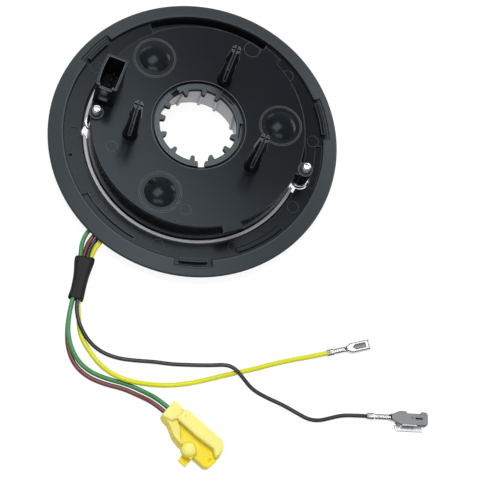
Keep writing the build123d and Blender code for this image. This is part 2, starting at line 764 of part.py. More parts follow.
green_route = [
    *outlet_points(-1.5),
    (-24.7, -55.4, 3.5),
    *through_sleeve((-2.0, 3.0), (-0.95, 3.15), (-1.05, 3.2)),
    (-19.2, -82.6, 2.9),
    (-17.5, -88.3, 2.75),
    (-14.6, -93.1, 2.6),
    (-10.5, -96.9, 1.7),
    (-4.9, -99.2, 1.0),
    (2.1, -99.4, 0.95),
    (9.3, -98.5, 0.95),
    (15.7, -98.8, 1.0),
    *into(plug_plane, 4.9, plug_start + plug_recess, plug_wire_middle + plug_wire_pitch / 2, plug_wire_height),
]
brown_route = [
    *outlet_points(-0.15),
    (-22.7, -55.7, 2.6),
    *through_sleeve((-0.7, 1.4), (-0.9, 1.4), (-0.95, 1.4)),
    (-19.2, -82.6, 1.0),
    (-17.6, -88.4, 0.9),
    (-15.2, -93.9, 0.9),
    (-10.8, -98.9, 0.9),
    (-4.6, -101.4, 0.9),
    (2.4, -101.5, 0.9),
    (8.7, -100.6, 0.9),
    (14.6, -100.9, 1.0),
    *into(plug_plane, 4.9, plug_start + plug_recess, plug_wire_middle - plug_wire_pitch / 2, plug_wire_height),
]
black_route = [
    *outlet_points(0.7),
    (-21.2, -56.0, 3.4),
    *through_sleeve((0.7, 3.1), (0.8, 3.2), (0.75, 3.2)),
    (-17.0, -80.6, 3.0),
    (-14.0, -85.0, 2.85),
    (-9.4, -88.7, 1.9),
    (-3.9, -90.7, 0.9),
    (2.7, -90.8, 0.8),
    (9.2, -89.2, 0.8),
    (16.2, -86.9, 0.8),
    (21.9, -85.6, 0.8),
    (28.3, -83.4, 0.85),
    (35.6, -80.8, 1.3),
    (41.4, -78.6, 2.8),
    (45.0, -79.0, 3.0),
    (48.6, -81.1, 2.7),
    (53.2, -83.5, 1.3),
    (58.9, -84.3, 0.8),
    (65.3, -84.6, 0.8),
    (71.6, -85.6, 0.8),
    (76.2, -86.3, 0.8),
    (80.0, -85.4, 0.8),
    (83.6, -83.0, 0.8),
    (87.5, -80.3, 0.9),
    *into(large_plane, 3.2, barrel_depth, 0, barrel_height),
]
yellow_route = [
    *outlet_points(1.58),
    (-19.6, -56.3, 2.6),
    *through_sleeve((2.0, 1.5), (0.9, 1.42), (1.1, 1.42)),
    (-16.2, -80.2, 1.0),
    (-14.3, -84.6, 0.95),
    (-12.0, -88.4, 0.95),
    (-7.3, -92.2, 0.95),
    (-2.2, -95.5, 1.4),
    (3.0, -97.4, 2.6),
    (8.2, -97.8, 2.9),
    (13.6, -96.9, 2.4),
    (20.2, -94.9, 1.1),
    (26.7, -92.2, 0.95),
    (33.4, -88.3, 0.95),
    (39.6, -83.9, 0.95),
    (45.4, -79.9, 0.95),
    (51.5, -75.9, 0.95),
    (57.0, -71.8, 0.95),
    (63.6, -67.3, 0.95),
    *into(small_plane, 4.5, barrel_depth, 0, barrel_height),
]


def corner_radii(route):
    """One arc radius for each inner point, as large as its two runs allow."""
    points = [Vector(*point) for point in route]
    radii = []
    for before, here, after in zip(points, points[1:], points[2:]):
        turn = (here - before).get_angle(after - here)
        shorter = min((here - before).length, (after - here).length)
        radii.append(0.45 * shorter / math.tan(math.radians(turn / 2)))
    return radii


def wire_tube(name, route, diameter):
    """A plain round tube along straight runs joined by tangent arcs."""
    radii = corner_radii(route)
    with BuildPart() as tube:
        with BuildLine():
            middle = FilletPolyline(*route, radius=radii)
        with BuildSketch(Plane(origin=middle @ 0, z_dir=middle % 0)):
            Circle(diameter / 2)
        sweep(path=middle)
    expected = math.pi * diameter**2 / 4 * middle.length
    print(f"{name}: length {middle.length:.1f}, tightest arc {min(radii):.1f},", end=" ")
    print(f"volume {tube.part.volume:.1f} against {expected:.1f}")
    tube.part.label = name
    export_step(tube.part, f"parts/{name}.step")


wire_tube("wire_green", green_route, green_diameter)
wire_tube("wire_brown", brown_route, brown_diameter)
wire_tube("wire_black", black_route, black_diameter)
wire_tube("wire_yellow", yellow_route, yellow_diameter)

# Plug: the yellow two way connector. It has a narrow wire end, a high back on one side,
# a low valley on the other with a shoulder before it, and a cavity for each contact.
plug_length = 25.0
plug_wide = (-6.6, 4.8)
wire_end_wide = (-3.0, 4.2)
wire_end_length = 3.9
wire_end_height = 7.4
shoulder_height = 6.6
shoulder_end = 9.3
valley_height = 5.0
back_height = 8.2
back_side = -0.8
back_chamfer = 0.6
contact_size = (1.4, 1.6)
cavity_gap = 0.1
wire_gap = 0.1
low_side = [(0.9, -3.4), (3.7, -3.8), (7.7, -6.0)]
with BuildPart() as plug_housing:
    with BuildSketch(plug_plane):
        with BuildLine():
            far_round = ThreePointArc((plug_length, -2.0), (24.4, 2.6), (22.0, plug_wide[1]))
            Polyline(
                far_round @ 1,
                (wire_end_length + 1.4, plug_wide[1]),
                (wire_end_length, wire_end_wide[1] - 0.3),
                (plug_start, wire_end_wide[1]),
                (plug_start, wire_end_wide[0]),
                *low_side,
                (11.0, plug_wide[0]),
                (23.2, plug_wide[0]),
                (24.5, -5.6),
                far_round @ 0,
            )
        make_face()
    extrude(amount=valley_height)
    with BuildSketch(plug_plane.offset(valley_height)):
        Polygon(
            (plug_start, back_side),
            (plug_start, wire_end_wide[0]),
            *low_side,
            (shoulder_end - 0.5, -6.1),
            (shoulder_end, back_side),
            align=None,
        )
    extrude(amount=shoulder_height - valley_height)
    with BuildSketch(plug_plane.offset(valley_height)):
        Polygon(
            (plug_start, wire_end_wide[1]),
            (plug_start, wire_end_wide[0]),
            low_side[0],
            (wire_end_length, back_side - 1.6),
            (wire_end_length + 0.6, back_side),
            (wire_end_length + 0.6, wire_end_wide[1] - 0.3),
            (wire_end_length, wire_end_wide[1] - 0.3),
            align=None,
        )
    extrude(amount=wire_end_height - valley_height)
    with BuildSketch(plug_plane.offset(valley_height)):
        with BuildLine():
            back_end = ThreePointArc((24.3, -2.0), (23.8, 2.4), (22.0, plug_wide[1] - 0.1))
            Polyline(
                back_end @ 1,
                (wire_end_length + 1.4, plug_wide[1] - 0.1),
                (wire_end_length + 0.3, wire_end_wide[1] - 0.4),
                (wire_end_length + 0.3, back_side),
                (14.3, back_side - 0.1),
                (21.4, -0.2),
                back_end @ 0,
            )
        make_face()
    extrude(amount=back_height - valley_height)
    chamfer(plug_housing.faces().sort_by(Axis.Z)[-1].edges().sort_by(SortBy.LENGTH)[-2:], back_chamfer)
    wire_face = Plane(
        origin=plug_plane.from_local_coords((plug_start, plug_wire_middle, plug_wire_height)),
        x_dir=plug_plane.y_dir,
        z_dir=plug_plane.x_dir,
    )
    with BuildSketch(wire_face):
        with GridLocations(plug_wire_pitch, 1, 2, 1):
            Circle(green_diameter / 2 + wire_gap)
    extrude(amount=plug_recess, mode=Mode.SUBTRACT)
    with BuildSketch(wire_face):
        with GridLocations(plug_wire_pitch, 1, 2, 1):
            Rectangle(contact_size[0] + 2 * cavity_gap, contact_size[1] + 2 * cavity_gap)
    extrude(amount=plug_length - plug_start + 1, mode=Mode.SUBTRACT)
plug_housing.part.label = "plug_housing"
export_step(plug_housing.part, "parts/plug_housing.step")

# Plug contacts: one blade in each cavity, from the wire's end to just inside the mouth.
contact_mouth = 2.5
with BuildPart() as plug_contacts:
    with BuildSketch(wire_face.offset(plug_recess)):
        with GridLocations(plug_wire_pitch, 1, 2, 1):
            Rectangle(*contact_size)
    extrude(amount=plug_length - plug_start - plug_recess - contact_mouth)
plug_contacts.part.label = "plug_contacts"
export_step(plug_contacts.part, "parts/plug_contacts.step")

# Plug lock: the round knob in the valley, with a strap over the side and a thumb tab.
knob_place = (15.4, -5.7)
knob_radius = 2.3
knob_height = 2.3
knob_round = 0.5
strap_height = 1.2
strap_width = 3.6
strap_shift = 0.8
strap_reach = 1.4
tab_reach = 4.1
tab_foot = 1.8
side_gap = 0.1
with BuildPart() as plug_lock:
    with BuildSketch(plug_plane.offset(valley_height)):
        with Locations(knob_place):
            Circle(knob_radius)
    extrude(amount=knob_height)
    fillet(plug_lock.faces().sort_by(Axis.Z)[-1].edges(), knob_round)
    strap_length = knob_place[1] - plug_wide[0] + strap_reach
    with BuildSketch(plug_plane.offset(valley_height)):
        with Locations((knob_place[0] + strap_shift, knob_place[1])):
            Rectangle(strap_width, strap_length, align=(Align.CENTER, Align.MAX))
    extrude(amount=strap_height)
    with BuildSketch(plug_plane.offset(tab_foot)):
        with Locations((knob_place[0] + strap_shift, plug_wide[0] - side_gap)):
            Rectangle(strap_width, strap_reach - side_gap, align=(Align.CENTER, Align.MAX))
    extrude(amount=valley_height - tab_foot)
    with BuildSketch(plug_plane.offset(tab_foot)):
        with Locations((knob_place[0] + strap_shift, plug_wide[0] - side_gap)):
            Rectangle(strap_width, tab_reach, align=(Align.CENTER, Align.MAX))
    extrude(amount=strap_height)
plug_lock.part.label = "plug_lock"
export_step(plug_lock.part, "parts/plug_lock.step")

# Terminals: crimped sheet sockets. Each has a barrel round its wire, a neck and a flat
# hollow box, with its plate slotted, open at the far end.
sheet = 0.4
for name, plane, wire_radius, neck_start, box_start, box_end, box_sides, box_height in (
    ("terminal_small", small_plane, yellow_diameter / 2, 6.4, 9.6, 16.9, (-2.0, 1.6), 2.6),
    ("terminal_large", large_plane, black_diameter / 2, 8.6, 12.0, 22.6, (-3.0, 2.0), 3.2),
):
    with BuildPart() as terminal:
        with BuildSketch(Plane(origin=plane.from_local_coords((0, 0, barrel_height)), z_dir=plane.x_dir)):
            Circle(wire_radius + sheet)
        extrude(amount=neck_start / 2)
        with BuildSketch(plane.offset(barrel_height - wire_radius)):
            Rectangle(neck_start + 0.6, 2 * wire_radius, align=(Align.MIN, Align.CENTER))
        extrude(amount=2 * wire_radius)
        with BuildSketch(plane):
            Polygon(
                (neck_start, wire_radius),
                (neck_start, -wire_radius),
                (box_start, box_sides[0]),
                (box_start, box_sides[1]),
                align=None,
            )
        extrude(amount=barrel_height)
        with BuildSketch(plane):
            with Locations((box_start, (box_sides[0] + box_sides[1]) / 2)):
                Rectangle(box_end - box_start, box_sides[1] - box_sides[0], align=(Align.MIN, Align.CENTER))
        extrude(amount=box_height)
        with BuildSketch(plane.offset(sheet)):
            with Locations((box_start + sheet, (box_sides[0] + box_sides[1]) / 2)):
                Rectangle(
                    box_end - box_start,
                    box_sides[1] - box_sides[0] - 2 * sheet,
                    align=(Align.MIN, Align.CENTER),
                )
        extrude(amount=box_height - 2 * sheet, mode=Mode.SUBTRACT)
        with BuildSketch(plane.offset(box_height - sheet)):
            with Locations(((box_start + box_end) / 2, (box_sides[0] + box_sides[1]) / 2)):
                SlotOverall((box_end - box_start) * 0.6, (box_sides[1] - box_sides[0]) * 0.35)
        extrude(amount=sheet, mode=Mode.SUBTRACT)
        with BuildSketch(Plane(origin=plane.from_local_coords((0, 0, barrel_height)), z_dir=plane.x_dir)):
            Circle(wire_radius + wire_gap / 2)
        extrude(amount=barrel_depth, mode=Mode.SUBTRACT)
    terminal.part.label = name
    export_step(terminal.part, f"parts/{name}.step")
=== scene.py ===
import math

import bpy
from mathutils import Matrix, Vector


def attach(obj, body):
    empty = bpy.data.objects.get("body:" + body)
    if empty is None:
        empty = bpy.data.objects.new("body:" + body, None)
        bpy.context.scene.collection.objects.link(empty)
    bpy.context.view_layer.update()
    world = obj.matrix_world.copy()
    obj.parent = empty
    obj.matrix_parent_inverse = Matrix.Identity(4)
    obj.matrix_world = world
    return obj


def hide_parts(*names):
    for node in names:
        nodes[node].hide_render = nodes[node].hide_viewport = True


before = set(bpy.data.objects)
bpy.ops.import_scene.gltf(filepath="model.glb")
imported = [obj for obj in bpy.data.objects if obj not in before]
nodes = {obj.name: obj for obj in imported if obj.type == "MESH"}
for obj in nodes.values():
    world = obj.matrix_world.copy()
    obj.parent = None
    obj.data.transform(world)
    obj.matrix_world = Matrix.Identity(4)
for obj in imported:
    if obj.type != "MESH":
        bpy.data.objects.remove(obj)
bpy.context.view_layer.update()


# Base cover: the flat black shell on the steering wheel side, injection moulded with a
# dull fine grain. It closes the drum from below and is the face that the part lies on.
def blend(tree, amount, first, second):
    """A colour that goes from the first to the second, each a colour or a socket."""
    mix = tree.nodes.new("ShaderNodeMix")
    mix.data_type = "RGBA"
    tree.links.new(amount, mix.inputs[0])
    for socket, source in ((mix.inputs[6], first), (mix.inputs[7], second)):
        if isinstance(source, tuple):
            socket.default_value = (*source, 1)
        else:
            tree.links.new(source, socket)
    return mix.outputs[2]


def ramp(tree, value, start, end, low=0, high=1, ease="LINEAR"):
    """Turns a value that goes from start to end into one that goes from low to high."""
    spread = tree.nodes.new("ShaderNodeMapRange")
    spread.interpolation_type = ease
    spread.inputs["From Min"].default_value = start
    spread.inputs["From Max"].default_value = end
    spread.inputs["To Min"].default_value = low
    spread.inputs["To Max"].default_value = high
    tree.links.new(value, spread.inputs["Value"])
    return spread.outputs["Result"]


def cloud(tree, place, scale, detail, distortion=0):
    """An uneven value through the piece, from soft noise."""
    texture = tree.nodes.new("ShaderNodeTexNoise")
    texture.inputs["Scale"].default_value = scale
    texture.inputs["Detail"].default_value = detail
    texture.inputs["Distortion"].default_value = distortion
    tree.links.new(place.outputs["Object"], texture.inputs["Vector"])
    return texture.outputs["Fac"]


def moulded_plastic(
    name, colour, flow_colour, gloss, grain, depth, shine=0.5, flow=18.0, glint=(1, 1, 1, 1)
):
    """A moulding: fine eroded grain, slow flow marks in the colour and uneven gloss."""
    edge_radius = 0.0003
    material = bpy.data.materials.new(name)
    material.use_nodes = True
    tree = material.node_tree
    shader = tree.nodes["Principled BSDF"]
    shader.inputs["Specular IOR Level"].default_value = shine
    shader.inputs["Specular Tint"].default_value = glint
    place = tree.nodes.new("ShaderNodeTexCoord")
    flow_marks = cloud(tree, place, flow, 4, 0.6)
    eroded = cloud(tree, place, grain, 3)
    soft_edge = tree.nodes.new("ShaderNodeBevel")
    soft_edge.samples = 6
    soft_edge.inputs["Radius"].default_value = edge_radius
    bump = tree.nodes.new("ShaderNodeBump")
    bump.inputs["Strength"].default_value = 1
    bump.inputs["Distance"].default_value = depth
    links = tree.links
    links.new(blend(tree, flow_marks, colour, flow_colour), shader.inputs["Base Color"])
    links.new(ramp(tree, flow_marks, 0, 1, *gloss), shader.inputs["Roughness"])
    links.new(eroded, bump.inputs["Height"])
    links.new(soft_edge.outputs["Normal"], bump.inputs["Normal"])
    links.new(bump.outputs["Normal"], shader.inputs["Normal"])
    return material


dull_black = moulded_plastic(
    "dull_black", (0.006, 0.0066, 0.0074), (0.01, 0.011, 0.012), gloss=(0.5, 0.62), grain=2600,
    depth=0.00002, shine=0.25,
)
nodes["base_cover"].material_slots[0].material = dull_black


# Rotor tray: the black drum with its slotted deck, a smoother moulding than the rim. Its
# clips come up through the rim's inner edge. Its edges are painted a little paler, a painted
# highlight.
def paint_edge_light_and_shade(material, reach, colour):
    """Paints a moulding's outward edges another colour over a short reach: painted highlight when
    paler, painted shade when darker.
    """
    tree = material.node_tree
    base = tree.nodes["Principled BSDF"].inputs["Base Color"]
    skin = base.links[0].from_socket
    inner = tree.nodes.new("ShaderNodeAmbientOcclusion")
    inner.inside = True
    inner.only_local = True
    inner.samples = 8
    inner.inputs["Distance"].default_value = reach
    painted_edge_mask = ramp(tree, inner.outputs["AO"], 0.92, 0.6)
    tree.links.new(blend(tree, painted_edge_mask, skin, colour), base)


cool_shine = (0.8, 0.93, 1.0, 1)
satin_black = moulded_plastic(
    "satin_black", (0.0035, 0.004, 0.0048), (0.006, 0.0068, 0.008), gloss=(0.2, 0.27), grain=1800,
    depth=0.000012, shine=0.075, glint=cool_shine,
)
# Painted highlight: the tray's outward edges are painted paler.
paint_edge_light_and_shade(satin_black, reach=0.0004, colour=(0.05, 0.055, 0.06))
nodes["rotor_tray"].material_slots[0].material = satin_black

# Flange ring: the wide sloping rim, moulded with a matte grain that looks grey beside
# the deck. It snaps over the drum, and its edges are painted dark, a painted shade.
rim_black = moulded_plastic(
    "rim_black", (0.012, 0.0145, 0.0165), (0.017, 0.02, 0.023), gloss=(0.4, 0.5), grain=3200,
    depth=0.00003, shine=0.27, glint=cool_shine,
)
# Painted shade: the rim's outward edges are painted near black.
paint_edge_light_and_shade(rim_black, reach=0.0006, colour=(0.001, 0.001, 0.0012))
nodes["flange_ring"].material_slots[0].material = rim_black

# Hub cassette: the light grey core in natural acetal. Its tapered sleeve is seen down the
# hub, and its low outer wall through the deck's open window.
light_grey = moulded_plastic(
    "light_grey", (0.36, 0.37, 0.39), (0.42, 0.43, 0.45), gloss=(0.4, 0.52), grain=900,
    depth=0.00001,
)
nodes["hub_cassette"].material_slots[0].material = light_grey
nodes["ribbon_inner_block"].material_slots[0].material = light_grey

# Hub collar: the toothed black ring on the sleeve's end that grips the steering wheel's
# hub. Its three notches are lightening pockets with a rough floor, painted almost black as painted
# shade.
pocket_floor = 0.0180
pocket_rim = 0.0186
pocket_painted_shade = (0.0004, 0.0004, 0.0005)
pocket_roughness = 0.85
collar_black = moulded_plastic(
    "collar_black", (0.01, 0.012, 0.014), (0.015, 0.018, 0.021), gloss=(0.26, 0.36), grain=1800,
    depth=0.00001, shine=0.3, glint=cool_shine,
)
# Painted highlight: the collar's outward edges are painted paler.
paint_edge_light_and_shade(collar_black, reach=0.0003, colour=(0.03, 0.033, 0.036))
# Painted shade: below the pockets' rim the colour goes to near black, and the floor is rougher.
tree = collar_black.node_tree
base = tree.nodes["Principled BSDF"].inputs["Base Color"]
roughness = tree.nodes["Principled BSDF"].inputs["Roughness"]
height = tree.nodes.new("ShaderNodeSeparateXYZ")
tree.links.new(tree.nodes["Texture Coordinate"].outputs["Object"], height.inputs["Vector"])
above_pocket_shade = ramp(tree, height.outputs["Z"], pocket_floor, pocket_rim)
dull = tree.nodes.new("ShaderNodeMix")
dull.inputs[2].default_value = pocket_roughness
tree.links.new(above_pocket_shade, dull.inputs[0])
tree.links.new(roughness.links[0].from_socket, dull.inputs[3])
tree.links.new(dull.outputs[0], roughness)
tree.links.new(blend(tree, above_pocket_shade, pocket_painted_shade, base.links[0].from_socket), base)
nodes["hub_collar"].material_slots[0].material = collar_black

# Glide ring and ribbon: a felt ring and a flat copper and film cable, shut in between the
# two halves.
felt = moulded_plastic(
    "felt", (0.06, 0.06, 0.06), (0.1, 0.1, 0.1), gloss=(0.9, 0.98), grain=5000, depth=0.0002
)
nodes["glide_ring"].material_slots[0].material = felt
ribbon_film = moulded_plastic(
    "ribbon_film", (0.6, 0.55, 0.4), (0.66, 0.62, 0.48), gloss=(0.25, 0.35), grain=700,
    depth=0.000004,
)
nodes["ribbon_cable"].material_slots[0].material = ribbon_film


# Wire grommet: a soft black rubber block clamped in the drum's window, with a thin lip
# outside and a raised cuff round each wire.
def slab(outline, low, high):
    """A plate in millimetres: a filled ring of points laid on an outline, then pulled up."""
    bpy.ops.object.select_all(action="DESELECT")
    bpy.ops.mesh.primitive_circle_add(vertices=len(outline), radius=1, fill_type="NGON")
    plate = bpy.context.object
    for corner, place in zip(plate.data.vertices, outline):
        corner.co = (place[0], place[1], low)
    bpy.ops.object.mode_set(mode="EDIT")
    bpy.ops.mesh.select_all(action="SELECT")
    bpy.ops.mesh.extrude_region_move(TRANSFORM_OT_translate={"value": (0, 0, high - low)})
    bpy.ops.mesh.select_all(action="SELECT")
    bpy.ops.mesh.normals_make_consistent(inside=False)
    bpy.ops.object.mode_set(mode="OBJECT")
    return plate


def block(low, high):
    """A block in millimetres between two opposite corners."""
    outline = [(low[0], low[1]), (high[0], low[1]), (high[0], high[1]), (low[0], high[1])]
    return slab(outline, low[2], high[2])


def turned(rings, sides=32):
    """A turned piece in millimetres: a disc pulled up Z through rings of (height, radius)."""
    bpy.ops.object.select_all(action="DESELECT")
    height, radius = rings[0]
    bpy.ops.mesh.primitive_circle_add(vertices=sides, radius=radius, fill_type="NGON")
    piece = bpy.context.object
    bpy.ops.object.mode_set(mode="EDIT")
    bpy.ops.mesh.select_all(action="SELECT")
    bpy.ops.transform.translate(value=(0, 0, height))
    for next_height, next_radius in rings[1:]:
        rise = {"value": (0, 0, next_height - height)}
        bpy.ops.mesh.extrude_region_move(TRANSFORM_OT_translate=rise)
        growth = next_radius / radius
        bpy.ops.transform.resize(value=(growth, growth, 1), center_override=(0, 0, next_height))
        height, radius = next_height, next_radius
    bpy.ops.mesh.select_all(action="SELECT")
    bpy.ops.mesh.normals_make_consistent(inside=False)
    bpy.ops.object.mode_set(mode="OBJECT")
    return piece


def pick(piece):
    """Selects one piece alone, as a click on it does."""
    bpy.ops.object.select_all(action="DESELECT")
    piece.select_set(True)
    bpy.context.view_layer.objects.active = piece


def moved(piece, place, tip=0):
    """Tips a piece over towards the X axis by an angle and moves it to a place."""
    piece.rotation_euler = (0, tip, 0)
    piece.location = place
    pick(piece)
    bpy.ops.object.transform_apply(location=True, rotation=True, scale=True)
    return piece


def laid_along_x(piece, place):
    """Lays a turned piece down along the X axis, with its foot at a place."""
    return moved(piece, place, math.pi / 2)


def finish_with(piece, kind, **settings):
    """Puts a modifier on a piece, sets it and applies it."""
    pick(piece)
    step = piece.modifiers.new(kind, kind)
    for setting, value in settings.items():
        setattr(step, setting, value)
    bpy.ops.object.modifier_apply(modifier=step.name)


def join(body, tool):
    """Joins a tool shape to a body."""
    finish_with(body, "BOOLEAN", operation="UNION", object=tool, solver="EXACT")
    bpy.data.objects.remove(tool)


def cut(body, tool):
    """Cuts a tool shape out of a body."""
    finish_with(body, "BOOLEAN", operation="DIFFERENCE", object=tool, solver="EXACT")
    bpy.data.objects.remove(tool)


def round_edges(piece, radius, segments=2, angle=30):
    """Rounds the piece's sharp edges."""
    limit = math.radians(angle)
    finish_with(
        piece, "BEVEL", width=radius, segments=segments, limit_method="ANGLE", angle_limit=limit
    )


def set_down(piece, name, origin, angle, material, body, smooth=40):
    """Scales a piece from millimetres, turns it, sets it in its place and dresses it."""
    piece.name = name
    piece.data.name = name
    piece.scale = (0.001, 0.001, 0.001)
    piece.rotation_euler = (0, 0, math.radians(angle))
    piece.location = (origin[0] / 1000, origin[1] / 1000, 0)
    pick(piece)
    bpy.ops.object.transform_apply(location=True, rotation=True, scale=True)
    bpy.ops.object.shade_smooth_by_angle(angle=math.radians(smooth))
    piece.data.materials.clear()
    piece.data.materials.append(material)
    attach(piece, body)


grommet_foot = 2.2
grommet_top = 5.2
grommet_heading = 247.3
lip_foot = 52.0
wire_exit_height = 3.7
cuff_rings = [(0, 1.2), (0.9, 1.1)]
rubber_black = moulded_plastic(
    "rubber_black", (0.005, 0.0055, 0.006), (0.009, 0.0095, 0.01), gloss=(0.5, 0.66), grain=1500,
    depth=0.00004, shine=0.18,
)
grommet = block((49.4, -4.2, grommet_foot), (52.3, 4.2, grommet_top))
join(grommet, block((lip_foot, -4.8, grommet_foot), (52.7, 4.8, grommet_top)))
for side in (-3.0, -0.3, 1.4, 3.16):
    cuff = turned(cuff_rings, 24)
    join(grommet, laid_along_x(cuff, (lip_foot, side, wire_exit_height)))
round_edges(grommet, 0.15)
set_down(
    grommet, "wire_grommet_rubber", (0, 0), grommet_heading, rubber_black, "rotor"
)
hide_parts("wire_grommet")


# Leads: four insulated wires that leave through the grommet, are gathered by the sleeve
# and lie loose. Each is copper strand in smooth extruded insulation.
def lay_wire(name, points, diameter, finish):
    """An insulated wire as one smooth line through its route, round in section."""
    curve = bpy.data.curves.new(name, "CURVE")
    curve.dimensions = "3D"
    curve.resolution_u = 10
    curve.bevel_depth = diameter / 2
    curve.bevel_resolution = 5
    curve.use_fill_caps = True
    spline = curve.splines.new("NURBS")
    spline.points.add(len(points) - 1)
    for control, place in zip(spline.points, points):
        control.co = (*place, 1)
    spline.order_u = 3
    spline.use_endpoint_u = True
    curve.materials.append(finish)
    wire = bpy.data.objects.new(name, curve)
    bpy.context.scene.collection.objects.link(wire)
    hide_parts(name)
    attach(wire, "rotor")
    return wire


def insulation(name, colour, flow_colour, gloss=(0.3, 0.42)):
    """Smooth extruded insulation with short clouds in its colour."""
    return moulded_plastic(name, colour, flow_colour, gloss, 1200, 0.00001, 0.3, 60)


plug_lead_diameter = 0.0017
black_lead_diameter = 0.0015
yellow_lead_diameter = 0.0018
green_points = [
    (-0.0232, -0.0476, 0.0037),
    (-0.0245, -0.0508, 0.0037),
    (-0.0247, -0.0554, 0.0035),
    (-0.0234, -0.0598, 0.0030),
    (-0.0208, -0.0683, 0.0032),
    (-0.0202, -0.0764, 0.0032),
    (-0.0192, -0.0826, 0.0029),
    (-0.0175, -0.0883, 0.0027),
    (-0.0146, -0.0931, 0.0026),
    (-0.0105, -0.0969, 0.0017),
    (-0.0049, -0.0992, 0.0010),
    (0.0021, -0.0994, 0.00095),
    (0.0093, -0.0985, 0.00095),
    (0.0157, -0.0988, 0.0010),
    (0.0225, -0.1003, 0.0037),
    (0.0285, -0.1026, 0.0037),
]
brown_points = [
    (-0.0207, -0.0487, 0.0037),
    (-0.0220, -0.0518, 0.0037),
    (-0.0227, -0.0557, 0.0026),
    (-0.0221, -0.0596, 0.0014),
    (-0.0208, -0.0683, 0.0014),
    (-0.0201, -0.0764, 0.0014),
    (-0.0192, -0.0826, 0.0010),
    (-0.0176, -0.0884, 0.0009),
    (-0.0152, -0.0939, 0.0009),
    (-0.0108, -0.0989, 0.0009),
    (-0.0046, -0.1014, 0.0009),
    (0.0024, -0.1015, 0.0009),
    (0.0087, -0.1006, 0.0009),
    (0.0146, -0.1009, 0.0010),
    (0.0217, -0.1022, 0.0037),
    (0.0278, -0.1046, 0.0037),
]
black_points = [
    (-0.0191, -0.0493, 0.0037),
    (-0.0204, -0.0525, 0.0037),
    (-0.0212, -0.0560, 0.0034),
    (-0.0208, -0.0594, 0.0031),
    (-0.0191, -0.0681, 0.0032),
    (-0.0185, -0.0762, 0.0032),
    (-0.0170, -0.0806, 0.0030),
    (-0.0140, -0.0850, 0.0029),
    (-0.0094, -0.0887, 0.0019),
    (-0.0039, -0.0907, 0.0009),
    (0.0027, -0.0908, 0.0008),
    (0.0092, -0.0892, 0.0008),
    (0.0162, -0.0869, 0.0008),
    (0.0219, -0.0856, 0.0008),
    (0.0283, -0.0834, 0.00085),
    (0.0356, -0.0808, 0.0013),
    (0.0414, -0.0786, 0.0028),
    (0.0450, -0.0790, 0.0030),
    (0.0486, -0.0811, 0.0027),
    (0.0532, -0.0835, 0.0013),
    (0.0589, -0.0843, 0.0008),
    (0.0653, -0.0846, 0.0008),
    (0.0716, -0.0856, 0.0008),
    (0.0762, -0.0863, 0.0008),
    (0.0800, -0.0854, 0.0008),
    (0.0836, -0.0830, 0.0008),
    (0.0875, -0.0803, 0.0009),
    (0.0934, -0.0782, 0.0013),
    (0.0989, -0.0764, 0.0013),
]
yellow_points = [
    (-0.0175, -0.0500, 0.0037),
    (-0.0188, -0.0532, 0.0037),
    (-0.0196, -0.0563, 0.0026),
    (-0.0195, -0.0592, 0.0015),
    (-0.0190, -0.0681, 0.0014),
    (-0.0181, -0.0762, 0.0014),
    (-0.0162, -0.0802, 0.0010),
    (-0.0143, -0.0846, 0.00095),
    (-0.0120, -0.0884, 0.00095),
    (-0.0073, -0.0922, 0.00095),
    (-0.0022, -0.0955, 0.0014),
    (0.0030, -0.0974, 0.0026),
    (0.0082, -0.0978, 0.0029),
    (0.0136, -0.0969, 0.0024),
    (0.0202, -0.0949, 0.0011),
    (0.0267, -0.0922, 0.00095),
    (0.0334, -0.0883, 0.00095),
    (0.0396, -0.0839, 0.00095),
    (0.0454, -0.0799, 0.00095),
    (0.0515, -0.0759, 0.00095),
    (0.0570, -0.0718, 0.00095),
    (0.0636, -0.0673, 0.00095),
    (0.0715, -0.0626, 0.0013),
    (0.0774, -0.0586, 0.0013),
]
green_finish = insulation("insulation_green", (0.022, 0.14, 0.04), (0.035, 0.19, 0.055))
brown_finish = insulation("insulation_brown", (0.085, 0.02, 0.022), (0.12, 0.032, 0.034))
black_finish = insulation(
    "insulation_black", (0.004, 0.004, 0.007), (0.008, 0.008, 0.012), gloss=(0.28, 0.4)
)
yellow_finish = insulation("insulation_yellow", (0.48, 0.48, 0.004), (0.55, 0.56, 0.008))
wire_green = lay_wire("wire_green", green_points, plug_lead_diameter, green_finish)
wire_brown = lay_wire("wire_brown", brown_points, plug_lead_diameter, brown_finish)
wire_black = lay_wire("wire_black", black_points, black_lead_diameter, black_finish)
wire_yellow = lay_wire("wire_yellow", yellow_points, yellow_lead_diameter, yellow_finish)

# Shrink sleeve: thin black tube shrunk round the four wires. It is flat and wide at its
# upper mouth, where the wires fan out, and draws in to a waist below.
sleeve_rings = [
    (-21.5, -59.7, -78.0, 3.7, 2.25),
    (-21.35, -61.0, -79.4, 3.8, 2.3),
    (-21.0, -63.2, -80.8, 3.45, 2.33),
    (-20.55, -65.8, -81.6, 3.0, 2.33),
    (-20.15, -68.4, -82.5, 2.8, 2.33),
    (-19.8, -70.8, -83.4, 2.75, 2.33),
    (-19.4, -73.2, -84.2, 2.75, 2.33),
    (-19.25, -75.2, -84.8, 2.95, 2.33),
    (-19.2, -76.1, -85.0, 2.9, 2.3),
]
sleeve_middle = 2.35
squareness = 3.2
dip_depth = 0.07
dip_width = 0.3
bpy.ops.object.select_all(action="DESELECT")
bpy.ops.mesh.primitive_circle_add(vertices=40, radius=1)
sleeve = bpy.context.object
bpy.ops.object.mode_set(mode="EDIT")
bpy.ops.mesh.select_all(action="SELECT")
for ring in sleeve_rings[1:]:
    bpy.ops.mesh.extrude_region_move(TRANSFORM_OT_translate={"value": (0, 0, 1)})
bpy.ops.object.mode_set(mode="OBJECT")
